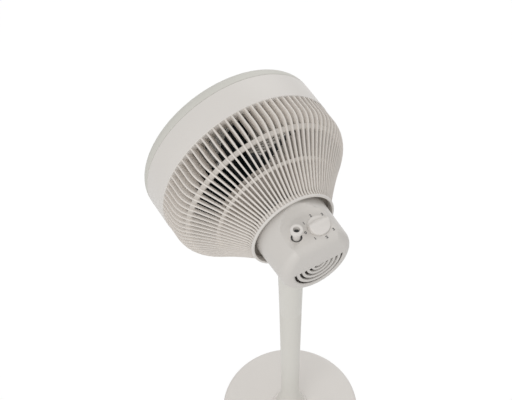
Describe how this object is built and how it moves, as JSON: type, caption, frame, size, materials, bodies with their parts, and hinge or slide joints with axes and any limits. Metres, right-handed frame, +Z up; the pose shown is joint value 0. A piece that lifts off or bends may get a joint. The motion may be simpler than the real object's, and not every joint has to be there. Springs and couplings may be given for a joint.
{
  "type": "air circulator fan",
  "caption": "Round air circulator fan on a slim post with a weighted disc base; the finned head tilts and swings, with a speed dial and a pull knob on the motor housing.",
  "frame": {"origin": "on the floor, under the centre of the round base", "axes": "+Z up along the post, -Y the way the fan blows, +X to the side of the pull knob"},
  "size_m": [0.25, 0.2656, 0.605],
  "materials": {
    "ivory_plastic": "fine satin moulding",
    "inner_plastic": "plain moulding",
    "dark_plastic": "polished",
    "post_paint": "satin paint over aluminium tube",
    "steel": "plain",
    "cast_weight": "rough",
    "laminations": "stacked sheet",
    "windings": "lacquered wire",
    "alloy": "die cast",
    "bushes": "plain",
    "foil": "sleeved",
    "rubber": "matt"
  },
  "bodies": {
    "stand": {"base_cover": "ivory_plastic", "base_weight": "cast_weight", "base_plate": "steel", "base_feet": "rubber", "base_screws": "steel", "post_nut": "steel", "cord_gland": "inner_plastic", "lower_post": "post_paint", "upper_neck": "ivory_plastic", "hinge_bolt": "steel", "hinge_nut": "steel", "tilt_washers": "bushes"},
    "tilt": {"tilt_bracket": "alloy", "turn_washer": "bushes", "oscillation_spindle": "steel"},
    "head": {"rear_grille": "ivory_plastic", "motor_cone": "inner_plastic", "front_bezel": "ivory_plastic", "air_duct": "ivory_plastic", "front_grille": "ivory_plastic", "centre_cap": "ivory_plastic", "stator_core": "laminations", "stator_coils": "windings", "motor_plate": "alloy", "motor_front_bracket": "alloy", "shaft_bearings": "bushes", "motor_housing": "ivory_plastic", "gear_case": "inner_plastic", "oscillation_bush": "bushes", "capacitor": "foil", "speed_switch": "inner_plastic"},
    "rotor": {"fan_blades": "dark_plastic", "spinner_nut": "dark_plastic", "motor_shaft": "steel", "rotor_core": "laminations"},
    "dial": {"speed_dial": "ivory_plastic"},
    "knob": {"pull_knob": "ivory_plastic", "knob_rod": "steel"}
  },
  "joints": [
    {"name": "tilt", "type": "hinge", "parent": "stand", "child": "tilt", "pos_m": [0, 0.02, 0.405], "axis": [-1, 0, 0], "range_deg": [-10, 60]},
    {"name": "oscillate", "type": "hinge", "parent": "tilt", "child": "head", "pos_m": [0, 0.02, 0.43], "axis": [0, 0, 1], "range_deg": [-40, 40]},
    {"name": "fan_spin", "type": "hinge", "parent": "head", "child": "rotor", "pos_m": [0, -0.05, 0.48], "axis": [0, -1, 0], "continuous": true},
    {"name": "dial_turn", "type": "hinge", "parent": "head", "child": "dial", "pos_m": [-0.0142, 0.041, 0.519], "axis": [0, 0, 1], "range_deg": [-135, 135]},
    {"name": "knob_push", "type": "slide", "parent": "head", "child": "knob", "axis": [0, 0, 1], "range_m": [-0.006, 0]}
  ]
}
